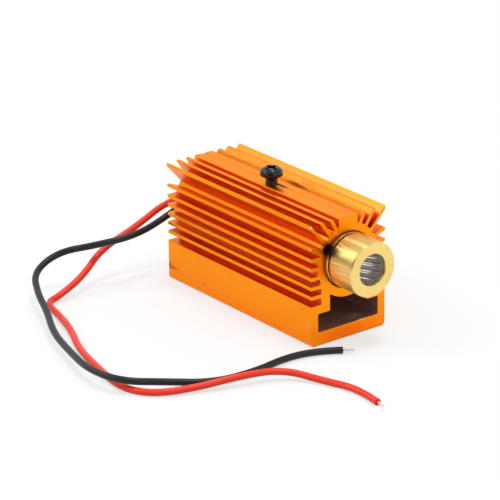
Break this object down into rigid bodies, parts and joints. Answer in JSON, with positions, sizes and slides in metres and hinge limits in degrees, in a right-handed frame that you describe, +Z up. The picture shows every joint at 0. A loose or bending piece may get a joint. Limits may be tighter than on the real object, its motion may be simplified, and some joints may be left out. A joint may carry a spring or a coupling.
{
  "type": "laser diode module",
  "caption": "Line laser: a brass barrel with a ribbed line lens, clamped by a screw in a finned anodised heatsink block with a T-shaped channel in its base, fed by a red and a black wire.",
  "frame": {"origin": "middle of the heatsink's flat underside", "axes": "+Z up from the underside, -Y the way the beam leaves, +X to the right when facing the front of the module"},
  "size_m": [0.0663, 0.0957, 0.0306],
  "materials": {
    "orange_anodised": "satin orange anodising over extruded aluminium",
    "black_steel": "gloss black oxide",
    "turned_brass": "fine turned, bright",
    "lens_glass": "clear, polished",
    "spring_steel": "bright drawn",
    "gold_plate": "gold plated",
    "chip": "polished semiconductor",
    "circuit_board": "green solder resist",
    "black_epoxy": "moulded, matt",
    "trimmer_body": "moulded, matt",
    "capacitor_body": "fired ceramic",
    "tinned_copper": "bright tinned strands",
    "red_insulation": "satin extruded insulation",
    "black_insulation": "satin extruded insulation"
  },
  "bodies": {
    "root": {"heatsink": "orange_anodised", "clamp_screw": "black_steel", "barrel": "turned_brass", "lens_head": "turned_brass", "line_lens": "lens_glass", "lens_retaining_ring": "black_steel", "collimator_cell": "turned_brass", "collimating_lens": "lens_glass", "focus_spring": "spring_steel", "diode_holder": "turned_brass", "diode_header": "gold_plate", "laser_chip": "chip", "diode_cap": "spring_steel", "diode_window": "lens_glass", "diode_retainer": "turned_brass", "diode_pins": "gold_plate", "driver_board": "circuit_board", "driver_chip": "black_epoxy", "current_trimmer": "trimmer_body", "filter_capacitors": "capacitor_body", "sense_resistors": "black_epoxy", "pass_transistor": "black_epoxy", "rear_plug": "black_epoxy", "wire_tails": "tinned_copper", "red_wire": "red_insulation", "red_wire_tip": "tinned_copper", "black_wire": "black_insulation", "black_wire_tip": "tinned_copper"}
  },
  "joints": []
}
